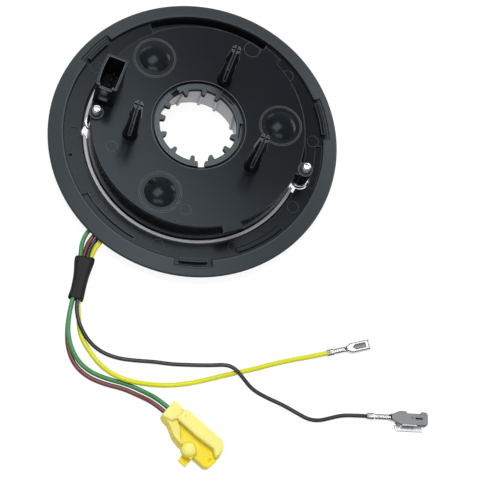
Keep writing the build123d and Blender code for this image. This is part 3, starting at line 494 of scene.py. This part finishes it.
for corner in sleeve.data.vertices:
    x, y, heading, half_width, half_height = sleeve_rings[round(corner.co.z)]
    around = math.atan2(corner.co.y, corner.co.x)
    across = math.cos(around)
    up = math.sin(around)
    square = (abs(across) ** squareness + abs(up) ** squareness) ** (-1 / squareness)
    dip = 1 - dip_depth * math.exp(-((across / dip_width) ** 2)) * (up > 0)
    side = math.radians(heading + 90)
    corner.co = (
        x + math.cos(side) * across * square * half_width,
        y + math.sin(side) * across * square * half_width,
        sleeve_middle + up * square * dip * half_height,
    )
bpy.ops.object.mode_set(mode="EDIT")
bpy.ops.mesh.select_all(action="SELECT")
bpy.ops.mesh.normals_make_consistent(inside=False)
bpy.ops.object.mode_set(mode="OBJECT")
finish_with(sleeve, "SOLIDIFY", thickness=0.4, offset=-1)
finish_with(sleeve, "SUBSURF", levels=2, render_levels=2)
tube_black = moulded_plastic(
    "tube_black", (0.0025, 0.003, 0.0034), (0.0045, 0.005, 0.0056), gloss=(0.5, 0.62), grain=1500,
    depth=0.00003, shine=0.14,
)
set_down(sleeve, "shrink_tube", (0, 0), 0, tube_black, "rotor")
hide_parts("shrink_sleeve")

# Plug: the yellow two way connector, one milky moulding with a narrow wire end, a high
# rounded back on one side and a low valley on the other. Drawn from its wire end.
plug_corner = (26.6, -103.2)
plug_turn = -21.1
valley_top = 5.0
raised_foot = 3
shoulder_top = 6.4
wire_end_top = 7.4
back_top = 8.1
plug_outline = [
    (25.0, -2.0), (24.95, 0.2), (24.5, 2.3), (23.5, 3.9), (22.0, 4.8), (5.3, 4.8), (3.9, 3.9),
    (-0.4, 4.2), (-0.4, -3.0), (0.9, -3.4), (3.7, -3.8), (7.7, -6.0), (11.0, -6.6), (23.2, -6.6),
    (24.5, -5.6),
]
shoulder_outline = [
    (0, -1.2), (0.3, -3.2), (3.7, -3.7), (7.7, -5.8), (11.4, -6.4), (12.3, -6.2), (10.0, -4.6),
    (9.0, -3.2), (7.0, -1.5), (4.4, -0.7),
]
wire_end_outline = [(-0.4, 4.1), (-0.4, -2.9), (0.9, -3.2), (3.9, -2.4), (4.5, -0.8), (4.3, 3.8)]
back_outline = [
    (4.3, -0.8), (14.3, -0.9), (21.4, -0.2), (24.2, -2.2), (24.6, 0.2), (24.2, 2.2), (23.3, 3.7),
    (21.9, 4.6), (5.4, 4.6), (4.3, 3.7),
]
plug = slab(plug_outline, 0, valley_top)
shoulder = slab(shoulder_outline, raised_foot, shoulder_top)
round_edges(shoulder, 0.5)
join(plug, shoulder)
wire_end = slab(wire_end_outline, raised_foot, wire_end_top)
round_edges(wire_end, 0.5)
join(plug, wire_end)
high_back = slab(back_outline, raised_foot, back_top)
round_edges(high_back, 0.9, segments=3, angle=50)
join(plug, high_back)

# The step behind the wire end, two small marks and the latch window in the side.
cut(plug, block((3.7, 2.8, 6.2), (4.6, 5.2, 9)))
cut(plug, block((22.9, -4.2, 4.2), (23.5, -2.6, 6)))
cut(plug, block((6.2, 1.7, 7.6), (6.9, 2.3, 9)))
cut(plug, block((11.5, 4.4, 2.2), (17.5, 5.2, 5.4)))

# A hole for each wire, which opens into the cavity of its contact.
wire_hole_radius = 0.95
cavity_half_width = 0.8
for side in (-0.85, 1.25):
    hole = turned([(0, wire_hole_radius), (3, wire_hole_radius)], 24)
    cut(plug, laid_along_x(hole, (-1, side, wire_exit_height)))
    cut(plug, block((1.5, side - cavity_half_width, 2.8), (26, side + cavity_half_width, 4.6)))


def melt(piece, grid, passes):
    """Gives a piece one skin with the soft edges of a moulding."""
    finish_with(piece, "REMESH", mode="VOXEL", voxel_size=grid)
    finish_with(piece, "SMOOTH", factor=0.5, iterations=passes)


def reckon(tree, operation, *values):
    """A sum of values, each a number or a socket."""
    step = tree.nodes.new("ShaderNodeMath")
    step.operation = operation
    for socket, value in zip(step.inputs, values):
        if isinstance(value, (int, float)):
            socket.default_value = value
        else:
            tree.links.new(value, socket)
    return step


def yellow_with_painted_light(name, deep, painted_light_colour, low, high):
    """Milky yellow moulding with some light through it, painted paler higher up and deeper yellow
    lower down, as painted light and shade by height.
    """
    material = moulded_plastic(name, deep, deep, (0.34, 0.46), 900, 0.00001, 0.18)
    tree = material.node_tree
    shader = tree.nodes["Principled BSDF"]
    shader.inputs["Subsurface Weight"].default_value = 0.25
    shader.inputs["Subsurface Radius"].default_value = (0.003, 0.0022, 0.0004)
    shader.inputs["Subsurface Scale"].default_value = 1
    place = tree.nodes["Texture Coordinate"]
    split = tree.nodes.new("ShaderNodeSeparateXYZ")
    tree.links.new(place.outputs["Object"], split.inputs["Vector"])
    # Painted light and shade: the colour goes from the deep yellow low down to the pale one high
    # up.
    level = ramp(tree, split.outputs["Z"], low, high, ease="SMOOTHSTEP")
    drift = reckon(tree, "MULTIPLY_ADD", cloud(tree, place, 320, 2), 0.5, level)
    uneven = reckon(tree, "SUBTRACT", drift.outputs[0], 0.25)
    uneven.use_clamp = True
    shade = blend(tree, uneven.outputs[0], deep, painted_light_colour)
    tree.links.new(shade, shader.inputs["Base Color"])
    return material


melt(plug, grid=0.18, passes=5)
plug_yellow = yellow_with_painted_light(
    "plug_yellow", (0.68, 0.55, 0.003), (0.66, 0.61, 0.18), low=0.0046, high=0.0072
)
set_down(plug, "plug_shell", plug_corner, plug_turn, plug_yellow, "rotor")
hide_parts("plug_housing")

# Plug lock: a round knob in the valley on a strap that bends over the side to a low thumb
# tab, moulded from the same yellow.
knob_place = (15.0, -5.9, 0)
strap_start = 14.4
strap_end = 18.0
tab_foot = 1.8
knob_rings = [(4.6, 2.9), (5.7, 2.85), (6.5, 2.6), (7.05, 2.1), (7.3, 1.4), (7.35, 0.6)]
lock = moved(turned(knob_rings, 40), knob_place)
join(lock, block((strap_start, -8.1, 5.0), (strap_end, -4.6, 6.1)))
join(lock, block((strap_start, -8.1, tab_foot), (strap_end, -6.8, 5.6)))
join(lock, block((strap_start, -10.7, tab_foot), (strap_end, -7.0, 3.0)))
melt(lock, grid=0.14, passes=4)
lock_yellow = yellow_with_painted_light(
    "lock_yellow", (0.66, 0.53, 0.015), (0.66, 0.6, 0.17), low=0.0055, high=0.0075
)
set_down(lock, "plug_knob", plug_corner, plug_turn, lock_yellow, "rotor")
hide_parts("plug_lock")


# Plug contacts: two stamped brass blades in the plug's cavities, tinned where they grip.
def sheet_metal(name, colour, bare_colour, gloss, streak):
    """Rolled or plated metal: streaks in the gloss, clouded plating, and a painted dark reflection
    on faces tilted part way, which darkens rounded edges.
    """
    painted_dark_reflection = (0.05, 0.05, 0.055)
    rounding_tilt = 0.6
    material = moulded_plastic(name, colour, bare_colour, gloss, streak, 0.000004, 0.5, 240)
    tree = material.node_tree
    shader = tree.nodes["Principled BSDF"]
    shader.inputs["Metallic"].default_value = 1
    base = shader.inputs["Base Color"]
    # Painted reflection: faces tilted about halfway between flat and upright are painted darker.
    facing = tree.nodes.new("ShaderNodeNewGeometry")
    split = tree.nodes.new("ShaderNodeSeparateXYZ")
    tree.links.new(facing.outputs["True Normal"], split.inputs["Vector"])
    upright = reckon(tree, "ABSOLUTE", split.outputs["Z"])
    offset = reckon(tree, "SUBTRACT", upright.outputs[0], rounding_tilt)
    away = reckon(tree, "ABSOLUTE", offset.outputs[0])
    dark_reflection_mask = ramp(tree, away.outputs[0], 0.12, 0.38, 0.92, 0)
    tree.links.new(blend(tree, dark_reflection_mask, base.links[0].from_socket, painted_dark_reflection), base)
    return material


contact_brass = sheet_metal(
    "contact_brass", (0.62, 0.46, 0.2), (0.7, 0.54, 0.28), gloss=(0.22, 0.36), streak=2200
)
nodes["plug_contacts"].material_slots[0].material = contact_brass


# Small terminal: a flat socket folded from bright tinned sheet and crimped on the yellow
# lead. Its top has a long window over the spring tongue, and its mouth slopes back.
def crimp(body, grip_rings, barrel_rings, barrel_axis, bridge_end, seam, bore):
    """Folds a terminal round its lead: a grip on the insulation, a barrel on the strands."""
    grip_axis = 1.3
    half_seam = 0.12
    seam_start, seam_end, seam_foot = seam
    join(body, laid_along_x(turned(grip_rings), (0, 0, grip_axis)))
    join(body, laid_along_x(turned(barrel_rings), (0, 0, barrel_axis)))
    join(body, block((2.3, -0.5, 0.5), (bridge_end, 0.5, 1.6)))
    cut(body, block((-0.5, -half_seam, 2.3), (2.6, half_seam, 3)))
    cut(body, block((seam_start, -half_seam, seam_foot), (seam_end, half_seam, 3)))
    cut(body, laid_along_x(turned([(0, bore), (2.9, bore)]), (-0.2, 0, grip_axis)))


sheet_smooth = 20
small_place = (75.2, -60.1)
small_turn = 34
mouth_edge = 15.75
mouth_height = 2.65
small_outline = [(7.5, 0.75), (7.5, -0.8), (9.3, -2.0), (16.9, -2.0), (16.9, 1.6), (9.3, 1.6)]
neck_outline = [(6.2, 0.8), (6.2, -0.8), (8.6, -1.2), (8.6, 1.2)]
throat_outline = [(5.5, 0.5), (5.5, -0.5), (10.1, -0.9), (10.1, 0.8)]
window_outline = [(9.7, -0.2), (11.0, -1.2), (15.1, -1.2), (15.1, 0.8), (11.0, 0.8)]
small_tongue_outline = [(9.9, -0.9), (15.4, -1.1), (15.4, 0.7), (9.9, 0.5)]
small_grip_rings = [(0, 1.3), (0.25, 1.22), (2.1, 1.22), (2.4, 1.3)]
small_barrel_rings = [
    (2.9, 0.95), (3.4, 1.02), (3.7, 0.92), (4.0, 1.02), (4.4, 1.02), (4.7, 0.92), (5.0, 1.02),
    (5.4, 1.02), (5.7, 0.92), (6.0, 1.02), (6.6, 0.98),
]
tinned = sheet_metal(
    "tinned", (0.47, 0.48, 0.49), (0.58, 0.59, 0.6), gloss=(0.24, 0.38), streak=1600
)
small = slab(small_outline, 0, 2.6)
round_edges(small, 0.34, segments=1)
slope = block((mouth_edge, -3, 1.3), (17.5, 3, 3))
for corner in slope.data.vertices:
    if corner.co.x < 16 and corner.co.z < 2:
        corner.co.z = mouth_height
cut(small, slope)
neck = slab(neck_outline, 0.2, 1.7)
round_edges(neck, 0.25, segments=1)
join(small, neck)
cut(small, block((9.9, -1.65, 0.35), (17.5, 1.25, 2.25)))
cut(small, slab(throat_outline, 0.6, 2.1))
cut(small, slab(window_outline, 2, 3))
crimp(
    small, small_grip_rings, small_barrel_rings, barrel_axis=1.3, bridge_end=3.0,
    seam=(2.8, 6.5, 2.15), bore=0.93,
)
set_down(
    small, "small_socket", small_place, small_turn, tinned, "rotor", sheet_smooth
)
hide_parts("terminal_small")
small_tongue = slab(small_tongue_outline, 1.3, 1.6)
round_edges(small_tongue, 0.1, segments=1)
grey_sheet = sheet_metal(
    "grey_sheet", (0.095, 0.1, 0.103), (0.15, 0.156, 0.16), gloss=(0.42, 0.58), streak=1500
)
set_down(
    small_tongue, "small_socket_tongue", small_place, small_turn, grey_sheet, "rotor",
    sheet_smooth,
)

# Large terminal: a tinned contact crimped on the black lead, with its edge folded out into
# a wing and a rolled bead above it, inside a box of duller grey spring steel.
large_place = (96.4, -77.2)
large_turn = 18
groove_start = 3.3
groove_pitch = 0.9
bead_radius = 0.36
contact_outline = [(8.0, 0.9), (8.0, -0.9), (13.0, -2.6), (13.0, 2.0)]
contact_hollow = [(7.0, 0.5), (7.0, -0.5), (13.5, -2.2), (13.5, 1.6)]
wing_outline = [(10.2, -2.6), (20.8, -2.6), (21.0, -4.7), (11.0, -4.8)]
box_outline = [
    (8.9, 0.9), (8.9, -0.9), (12.0, -2.8), (22.0, -2.8), (22.6, -2.2), (22.6, 1.5), (22.1, 2.2),
    (20.3, 2.3), (20.1, 1.55), (14.8, 1.55), (14.6, 2.3), (12.2, 2.3),
]
box_throat = [(8.0, 1.2), (8.0, -1.2), (12.5, -2.5), (12.5, 1.9)]
large_grip_rings = [(0, 1.3), (0.5, 1.2), (1.8, 1.18), (2.4, 1.3)]
large_barrel_rings = [(3.0, 0.9)]
for groove in range(6):
    start = groove_start + groove_pitch * groove
    large_barrel_rings += [(start, 1.05), (start + 0.4, 1.05), (start + 0.6, 0.9)]
large_barrel_rings += [(8.7, 1.0)]
large = slab(contact_outline, 0.3, 2.6)
round_edges(large, 0.2, segments=1)
cut(large, slab(contact_hollow, 0.6, 3))
wing = slab(wing_outline, 0.1, 0.5)
round_edges(wing, 0.15, segments=1)
join(large, wing)
join(large, block((12.6, -2.8, 0.2), (13.4, -2.4, 2.9)))
bead = turned([(0, bead_radius), (5.4, bead_radius)], 24)
join(large, laid_along_x(bead, (13.0, -2.85, 2.8)))
crimp(
    large, large_grip_rings, large_barrel_rings, barrel_axis=1.25, bridge_end=3.1,
    seam=(2.9, 8.5, 2.1), bore=0.78,
)
set_down(
    large, "large_socket", large_place, large_turn, tinned, "rotor", sheet_smooth
)
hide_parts("terminal_large")

# The box is open at its mouth and its throat, and has two slots and a pressed dimple.
large_box = slab(box_outline, 0, 3.1)
round_edges(large_box, 0.2, segments=1)
cut(large_box, block((12.3, -2.4, 0.4), (23.5, 1.2, 2.7)))
cut(large_box, slab(box_throat, -1, 2.7))
cut(large_box, block((13.5, -3.6, 0.5), (18.1, -2.3, 2.5)))
cut(large_box, block((17.9, -0.55, 2.4), (20.6, 0.0, 3.6)))
cut(large_box, moved(turned([(2.85, 0.4), (3.6, 0.4)], 16), (16.8, -0.2, 0)))
set_down(
    large_box, "large_socket_box", large_place, large_turn, grey_sheet, "rotor",
    sheet_smooth,
)
# A near black tongue fills the box behind its slot, a dark piece put there as painted shade for its
# interior.
tongue = block((13.2, -2.4, 0.42), (20.9, -0.1, 2.3))
round_edges(tongue, 0.1)
painted_shade_tongue = moulded_plastic(
    "painted_shade_steel", (0.004, 0.004, 0.009), (0.008, 0.008, 0.015), gloss=(0.4, 0.5), grain=1500,
    depth=0.00001, shine=0.2,
)
set_down(
    tongue, "large_socket_tongue", large_place, large_turn, painted_shade_tongue, "rotor",
    sheet_smooth,
)

# Stator housing: the black acetal moulding on the column side with the plate, domes and
# pegs, the smoothest surface of all, with a soft sheen. Its socket's insides are dull, and
# painted darker than the housing as painted shade.
sheen_black = moulded_plastic(
    "sheen_black", (0.0035, 0.0042, 0.0052), (0.006, 0.0072, 0.009), gloss=(0.17, 0.23), grain=1500,
    depth=0.00001, shine=0.08, glint=cool_shine,
)
# Painted highlight: the housing's outward edges are painted pale grey.
paint_edge_light_and_shade(sheen_black, reach=0.0004, colour=(0.11, 0.121, 0.13))
nodes["stator_housing"].material_slots[0].material = sheen_black
# Painted shade: the pieces inside the socket and under the bosses are a darker black than the
# housing.
painted_shade_black = moulded_plastic(
    "painted_shade_black", (0.002, 0.0022, 0.0026), (0.004, 0.0044, 0.005), gloss=(0.6, 0.75), grain=2000,
    depth=0.00002, shine=0.08,
)
for name in ("socket_pin_block", "screw_retainers", "ribbon_outer_block"):
    nodes[name].material_slots[0].material = painted_shade_black
# Painted shade: the socket pins' brass is painted near black, as they lie in the socket's shade.
painted_shade_brass = sheet_metal(
    "painted_shade_brass", (0.008, 0.007, 0.005), (0.012, 0.01, 0.007), gloss=(0.45, 0.6), streak=2200
)
nodes["socket_pins"].material_slots[0].material = painted_shade_brass

# Captive screws: zinc plated steel, each with a round socket head below its boss, a thin
# shank through it and a rolled thread that stands out above.
screw_places = {"screw_left": (-37.4, -10.7), "screw_right": (43.4, -1.9)}
thread_foot = 20.5
thread_top = 23.2
thread_pitch = 0.6
thread_root = 1.42
thread_crest = 1.75
thread_rings = 37
ring_step = 0.075
slack = 0.01
key_radius = 1.4
screw_rings = [
    (7.6, 2.6), (7.75, 3.0), (8.1, 3.2), (9.75, 3.2), (9.8, 3.15), (9.81, 1.4), (9.9, 1.35),
    (20.3, 1.35),
]
screw_rings += [(thread_foot + step * ring_step, thread_root) for step in range(thread_rings)]
screw_rings += [(23.4, 1.42), (23.6, 1.25), (23.61, 0.9), (23.0, 0.55)]
zinc = sheet_metal("zinc", (0.48, 0.5, 0.53), (0.58, 0.6, 0.63), gloss=(0.2, 0.32), streak=1400)
for name, place in screw_places.items():
    screw = turned(screw_rings, 48)
    for corner in screw.data.vertices:
        if thread_foot - slack < corner.co.z < thread_top + slack:
            turn = math.atan2(corner.co.y, corner.co.x) / (2 * math.pi)
            phase = (corner.co.z / thread_pitch - turn) % 1
            radius = thread_root + (thread_crest - thread_root) * (1 - abs(2 * phase - 1))
            flat = math.hypot(corner.co.x, corner.co.y)
            corner.co.x *= radius / flat
            corner.co.y *= radius / flat
    cut(screw, turned([(7, key_radius), (9, key_radius)], 6))
    set_down(screw, name + "_turned", place, 0, zinc, name)
    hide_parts(name)


# Floor: a plain white sheet that the part lies on. Its own white is partly lit from
# within, so that it stays white, and it takes the part's soft shadow.
def seen_or_lit(tree, lit, seen):
    """One shader for the light that falls on things, another for straight and mirrored looks."""
    rays = tree.nodes.new("ShaderNodeLightPath")
    choose = tree.nodes.new("ShaderNodeMixShader")
    look = reckon(tree, "MAXIMUM", rays.outputs["Is Camera Ray"], rays.outputs["Is Glossy Ray"])
    either = reckon(tree, "MAXIMUM", look.outputs[0], rays.outputs["Is Transmission Ray"])
    tree.links.new(either.outputs[0], choose.inputs[0])
    tree.links.new(lit.outputs[0], choose.inputs[1])
    tree.links.new(seen.outputs[0], choose.inputs[2])
    return choose.outputs[0]


bpy.ops.object.select_all(action="DESELECT")
bpy.ops.mesh.primitive_plane_add(size=6, location=(0, 0, 0))
floor = bpy.context.object
floor.name = "floor"
paper = bpy.data.materials.new("paper")
paper.use_nodes = True
tree = paper.node_tree
tree.nodes.clear()
surface = tree.nodes.new("ShaderNodeOutputMaterial")
diffuse = tree.nodes.new("ShaderNodeBsdfDiffuse")
diffuse.inputs["Color"].default_value = (0.86, 0.86, 0.86, 1)
shown = tree.nodes.new("ShaderNodeAddShader")
dim_diffuse = tree.nodes.new("ShaderNodeBsdfDiffuse")
dim_diffuse.inputs["Color"].default_value = (0.16, 0.16, 0.16, 1)
glow = tree.nodes.new("ShaderNodeEmission")
glow.inputs["Color"].default_value = (1, 1, 1, 1)
glow.inputs["Strength"].default_value = 0.87
tree.links.new(dim_diffuse.outputs[0], shown.inputs[0])
tree.links.new(glow.outputs[0], shown.inputs[1])
tree.links.new(seen_or_lit(tree, diffuse, shown), surface.inputs["Surface"])
floor.data.materials.append(paper)

# Light: a white room and four soft boxes that the camera doesn't see. One overhead at the
# left gives the black plastic its sheen, one in front lights the rim, and two low strips
# behind draw the edges.
world = bpy.data.worlds.new("room")
bpy.context.scene.world = world
world.use_nodes = True
room = world.node_tree
room.nodes.clear()
sky = room.nodes.new("ShaderNodeOutputWorld")
fill = room.nodes.new("ShaderNodeBackground")
fill.inputs["Color"].default_value = (1, 1, 1, 1)
fill.inputs["Strength"].default_value = 0.12
white = room.nodes.new("ShaderNodeBackground")
white.inputs["Color"].default_value = (1, 1, 1, 1)
white.inputs["Strength"].default_value = 1
room.links.new(seen_or_lit(room, fill, white), sky.inputs["Surface"])


def soft_lamp(name, place, wide, long, power, aim):
    """A soft box that looks at a point of the part."""
    lamp = bpy.data.lights.new(name, "AREA")
    lamp.shape = "RECTANGLE"
    lamp.size = wide
    lamp.size_y = long
    lamp.energy = power
    box = bpy.data.objects.new(name, lamp)
    bpy.context.scene.collection.objects.link(box)
    box.location = place
    box.rotation_euler = (Vector(aim) - Vector(place)).to_track_quat("-Z", "Y").to_euler()
    box.visible_camera = False


soft_lamp("key_lamp", (-0.086, 0.066, 0.6), wide=0.38, long=0.3, power=3.6, aim=(0, 0.014, 0))
soft_lamp("low_lamp", (0.07, -0.34, 0.62), wide=0.5, long=0.16, power=2.0, aim=(0, -0.03, 0))
soft_lamp("left_strip", (-0.52, 0.34, 0.2), wide=0.7, long=0.06, power=1.1, aim=(0, 0, 0.01))
soft_lamp("right_strip", (0.52, 0.34, 0.2), wide=0.7, long=0.06, power=2.0, aim=(0, 0, 0.01))

# Camera: high above the part, as the photograph was taken, turned a little clockwise.
tilt = math.radians(66.4)
roll = math.radians(-21.12)
distance = 0.670
rim_height = 0.006
lens_pixels = 1748.2
picture = 480
axis_pixel = (193.7, 137.6)
back = Vector((0, -math.cos(tilt), math.sin(tilt)))
level = Vector((1, 0, 0))
upward = Vector((0, math.sin(tilt), math.cos(tilt)))
right = math.cos(roll) * level - math.sin(roll) * upward
top = math.sin(roll) * level + math.cos(roll) * upward
camera_data = bpy.data.cameras.new("camera")
camera_data.sensor_width = 36
camera_data.lens = lens_pixels * camera_data.sensor_width / picture
camera_data.shift_x = (picture / 2 - axis_pixel[0]) / picture
camera_data.shift_y = -(picture / 2 - axis_pixel[1]) / picture
camera_data.clip_start = 0.05
camera = bpy.data.objects.new("camera", camera_data)
bpy.context.scene.collection.objects.link(camera)
turned_frame = Matrix((right, top, back)).transposed().to_4x4()
turned_frame.translation = Vector((0, 0, rim_height)) + distance * back
camera.matrix_world = turned_frame
bpy.context.scene.camera = camera
bpy.context.scene.view_settings.view_transform = "Standard"
